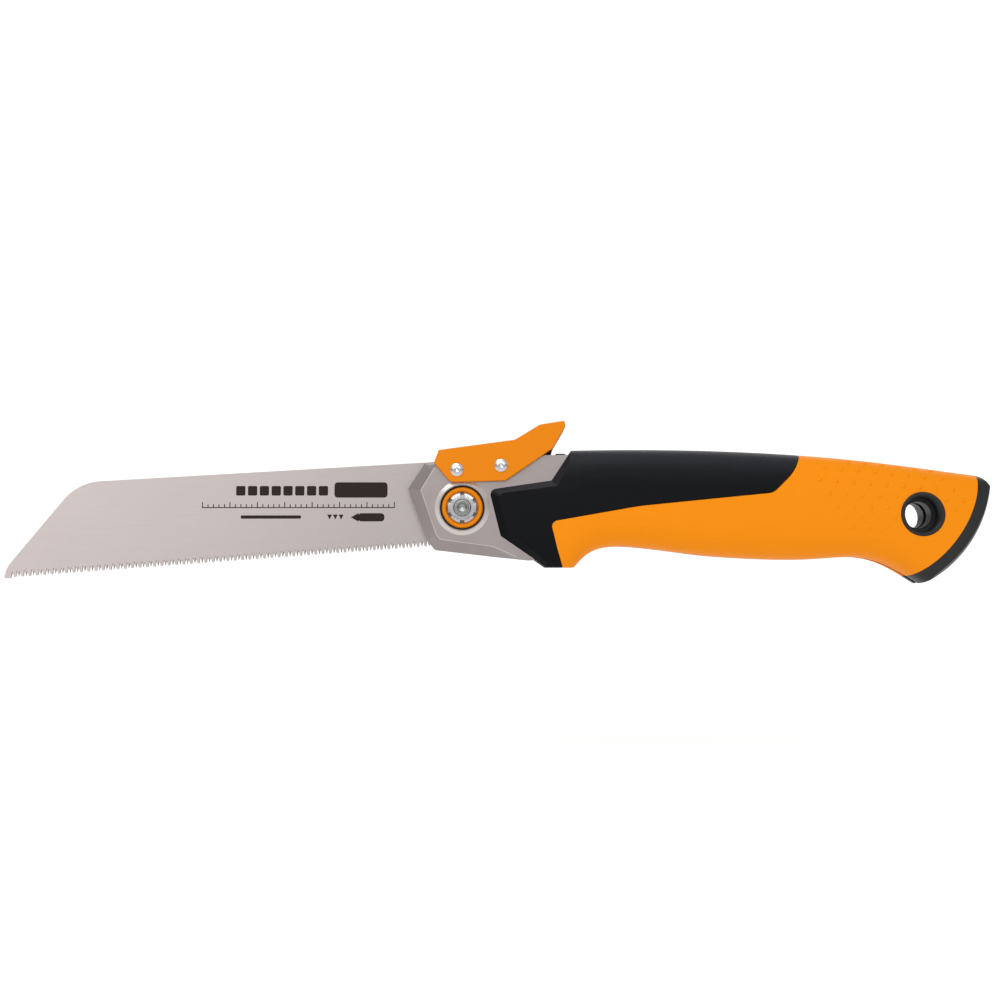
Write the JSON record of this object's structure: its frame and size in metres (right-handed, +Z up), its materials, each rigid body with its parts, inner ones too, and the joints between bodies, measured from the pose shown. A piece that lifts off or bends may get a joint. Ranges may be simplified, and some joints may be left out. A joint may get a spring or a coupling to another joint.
{
  "type": "folding pull saw",
  "caption": "Folding saw: fine-toothed straight blade that swings down into a slotted, palm-shaped handle with a soft grip, and locks open or closed under a thumb lever.",
  "frame": {"origin": "centre of the hanging hole, in the middle plane of the handle's thickness", "axes": "+X towards the butt of the handle, with the open blade pointing to -X; +Z up, towards the blade's spine and the thumb lever; Y across the thickness, with the left side at -Y"},
  "size_m": [0.3558, 0.0268, 0.0584],
  "materials": {
    "saw_steel": "lengthwise brushed",
    "bolster_metal": "fine satin",
    "liner_steel": "plain",
    "black_steel": "black oxide",
    "bright_chrome": "polished",
    "bearing_bronze": "plain",
    "orange_plastic": "semi-gloss",
    "seal_rubber": "matt",
    "grip_rubber": "soft matt",
    "black_plastic": "matt"
  },
  "bodies": {
    "handle": {"bolster_left": "bolster_metal", "bolster_right": "bolster_metal", "liner_left": "liner_steel", "liner_right": "liner_steel", "back_spacer": "black_steel", "stop_pin": "liner_steel", "pivot_bolt": "bright_chrome", "pivot_nut": "bright_chrome", "pivot_bush": "bearing_bronze", "thrust_washers": "bearing_bronze", "pivot_ring_left": "orange_plastic", "pivot_ring_right": "orange_plastic", "pivot_seal_left": "seal_rubber", "pivot_seal_right": "seal_rubber", "lever_spring": "liner_steel", "handle_shell_left": "orange_plastic", "handle_shell_right": "orange_plastic", "grip_sleeve": "grip_rubber", "end_cap": "black_plastic", "hang_bush_left": "black_plastic", "hang_bush_right": "black_plastic", "handle_screws": "black_steel"},
    "blade": {"blade": "saw_steel"},
    "lever": {"lock_lever": "orange_plastic", "lock_bar": "black_steel", "lock_rivet": "bright_chrome", "lever_pivot_pin": "bright_chrome"}
  },
  "joints": [
    {"name": "blade_fold", "type": "hinge", "parent": "handle", "child": "blade", "pos_m": [-0.1638, 0, 0.0026], "axis": [0, -1, 0], "range_deg": [0, 175.6]},
    {"name": "lever_press", "type": "hinge", "parent": "handle", "child": "lever", "pos_m": [-0.14985, 0, 0.01775], "axis": [0, 1, 0], "range_deg": [0, 6], "deforming": ["lever_spring"]}
  ]
}
